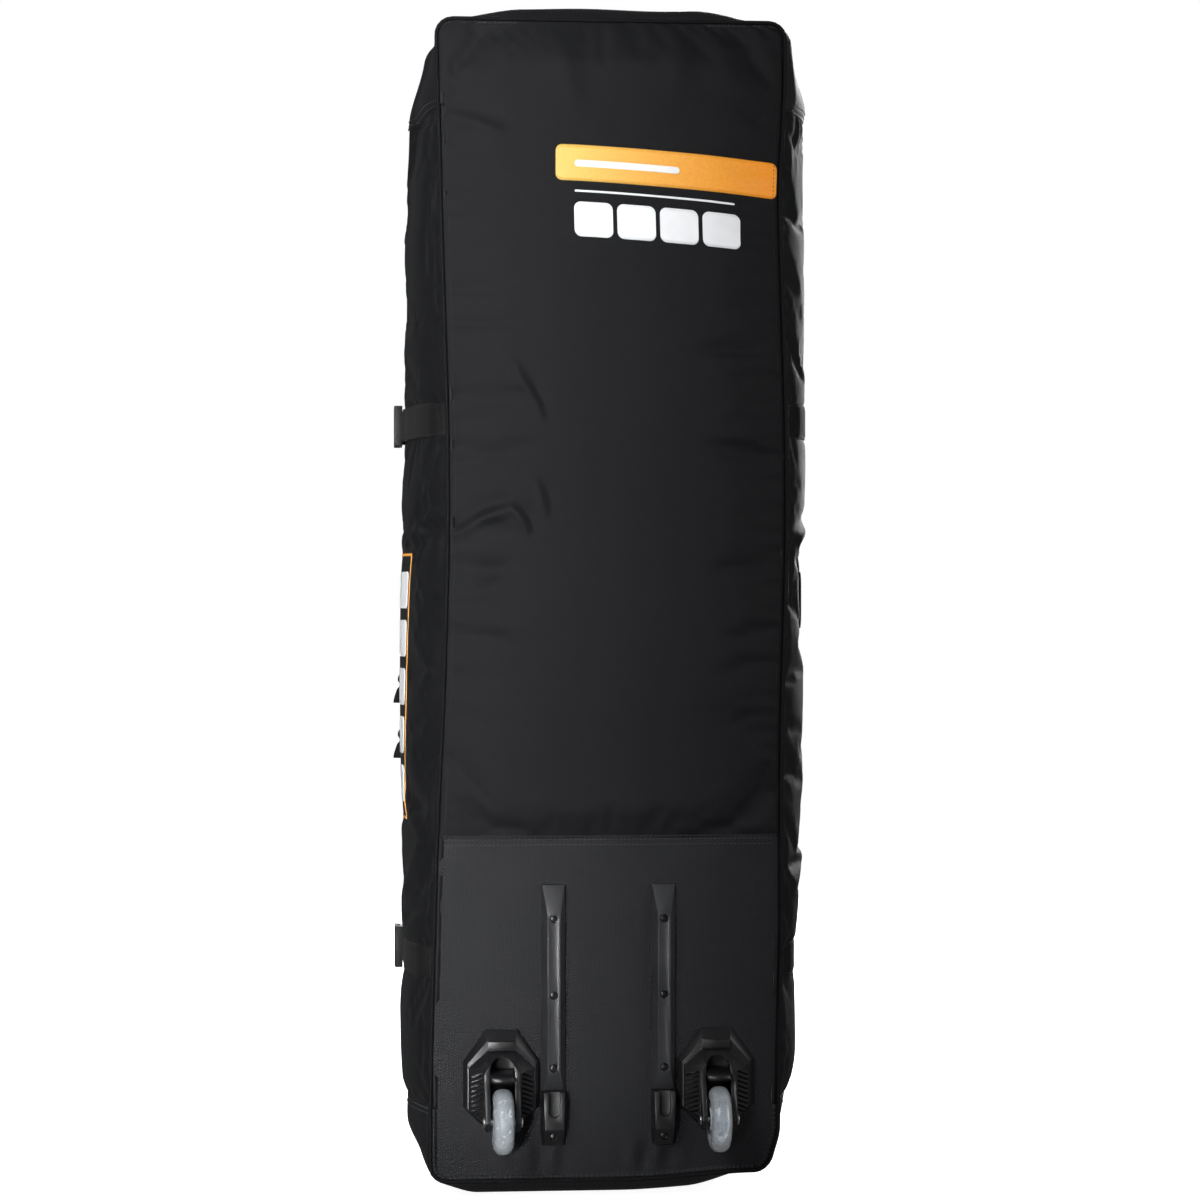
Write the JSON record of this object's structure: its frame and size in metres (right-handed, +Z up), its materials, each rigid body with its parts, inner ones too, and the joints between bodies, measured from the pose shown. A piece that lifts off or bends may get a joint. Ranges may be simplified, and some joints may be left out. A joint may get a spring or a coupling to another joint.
{
  "type": "golf travel case",
  "caption": "Tall soft-sided travel case for a golf bag, with inline wheels, skid rails and feet on the back, zipped lid, buckled compression straps and carry handles.",
  "frame": {"origin": "centre of the flat standing face under the wheel end", "axes": "+Z up the length of the standing case, -Y the back with the wheels and rails, +Y the lid, +X the hinge side of the lid"},
  "size_m": [0.498, 0.3828, 1.4142],
  "materials": {
    "polyester": "woven matt black",
    "tarpaulin": "coated, finely embossed dark grey",
    "lining": "thin smooth dark grey lining",
    "webbing": "ribbed black webbing",
    "zip_tape": "black zip tape and coil",
    "black_plastic": "moulded satin black",
    "board": "plain stiffening sheet",
    "wheel_urethane": "cloudy clear grey cast urethane",
    "hub_plastic": "moulded grey",
    "steel": "plain steel",
    "black_metal": "black coated steel",
    "print_orange": "flat printed panel",
    "print_white": "flat printed blocks"
  },
  "bodies": {
    "case_body": {"back_panel": "polyester", "lower_back_panel": "tarpaulin", "left_gusset": "polyester", "right_gusset": "polyester", "top_left_corner_panel": "tarpaulin", "top_right_corner_panel": "tarpaulin", "bottom_left_corner_panel": "tarpaulin", "bottom_right_corner_panel": "tarpaulin", "top_end_panel": "tarpaulin", "bottom_end_panel": "tarpaulin", "base_board": "board", "upper_inner_strap": "webbing", "lower_inner_strap": "webbing", "zip_body_half": "zip_tape", "upper_strap_left_tab": "webbing", "upper_strap_right_tab": "webbing", "upper_buckle_socket": "black_plastic", "lower_strap_left_tab": "webbing", "lower_strap_right_tab": "webbing", "lower_buckle_socket": "black_plastic", "left_wheel_housing": "black_plastic", "left_wheel_cover": "black_plastic", "left_axle": "steel", "left_rail": "black_plastic", "left_rail_screw_1": "black_metal", "left_rail_screw_2": "black_metal", "left_rail_screw_3": "black_metal", "left_foot": "black_plastic", "left_foot_screw": "black_metal", "right_wheel_housing": "black_plastic", "right_wheel_cover": "black_plastic", "right_axle": "steel", "right_rail": "black_plastic", "right_rail_screw_1": "black_metal", "right_rail_screw_2": "black_metal", "right_rail_screw_3": "black_metal", "right_foot": "black_plastic", "right_foot_screw": "black_metal"},
    "lid": {"lid_panel": "polyester", "lid_lip": "polyester", "zip_lid_half": "zip_tape", "upper_strap": "webbing", "lower_strap": "webbing", "upper_buckle_plug": "black_plastic", "lower_buckle_plug": "black_plastic"},
    "left_wheel": {"left_tyre": "wheel_urethane", "left_hub": "hub_plastic", "left_inner_bearing": "steel", "left_outer_bearing": "steel"},
    "right_wheel": {"right_tyre": "wheel_urethane", "right_hub": "hub_plastic", "right_inner_bearing": "steel", "right_outer_bearing": "steel"},
    "upper_slider": {"upper_zip_slider": "black_metal"},
    "lower_slider": {"lower_zip_slider": "black_metal"},
    "upper_pull": {"upper_zip_pull": "webbing"},
    "lower_pull": {"lower_zip_pull": "webbing"},
    "side_carry_handle": {"side_handle": "webbing", "side_handle_grip": "webbing"},
    "top_carry_handle": {"top_handle": "webbing"}
  },
  "joints": [
    {"name": "lid_hinge", "type": "hinge", "parent": "case_body", "child": "lid", "pos_m": [0.2245, 0.0978, 0.7], "axis": [0, 0, -1], "range_deg": [0, 140]},
    {"name": "left_wheel_spin", "type": "hinge", "parent": "case_body", "child": "left_wheel", "pos_m": [-0.1255, -0.1924, 0.0985], "axis": [1, 0, 0], "continuous": true},
    {"name": "right_wheel_spin", "type": "hinge", "parent": "case_body", "child": "right_wheel", "pos_m": [0.1255, -0.1924, 0.0985], "axis": [1, 0, 0], "continuous": true},
    {"name": "upper_zip_slide", "type": "slide", "parent": "case_body", "child": "upper_slider", "axis": [0, 0, 1], "range_m": [0, 0.45]},
    {"name": "lower_zip_slide", "type": "slide", "parent": "case_body", "child": "lower_slider", "axis": [0, 0, -1], "range_m": [0, 0.19]},
    {"name": "upper_pull_swing", "type": "hinge", "parent": "upper_slider", "child": "upper_pull", "pos_m": [-0.22811, 0.08663, 0.628], "axis": [0.3253, 0.9456, 0], "range_deg": [0, 170]},
    {"name": "lower_pull_swing", "type": "hinge", "parent": "lower_slider", "child": "lower_pull", "pos_m": [-0.22811, 0.08663, 0.56], "axis": [0.3253, 0.9456, 0], "range_deg": [0, 170]},
    {"name": "side_handle_swing", "type": "hinge", "parent": "case_body", "child": "side_carry_handle", "pos_m": [0.2419, 0, 0.7], "axis": [0, 0, 1], "range_deg": [-25, 25], "stiffness_Nm_per_rad": 0.02},
    {"name": "top_handle_swing", "type": "hinge", "parent": "case_body", "child": "top_carry_handle", "pos_m": [0, 0.02, 1.4039], "axis": [1, 0, 0], "range_deg": [-25, 25], "stiffness_Nm_per_rad": 0.02}
  ]
}
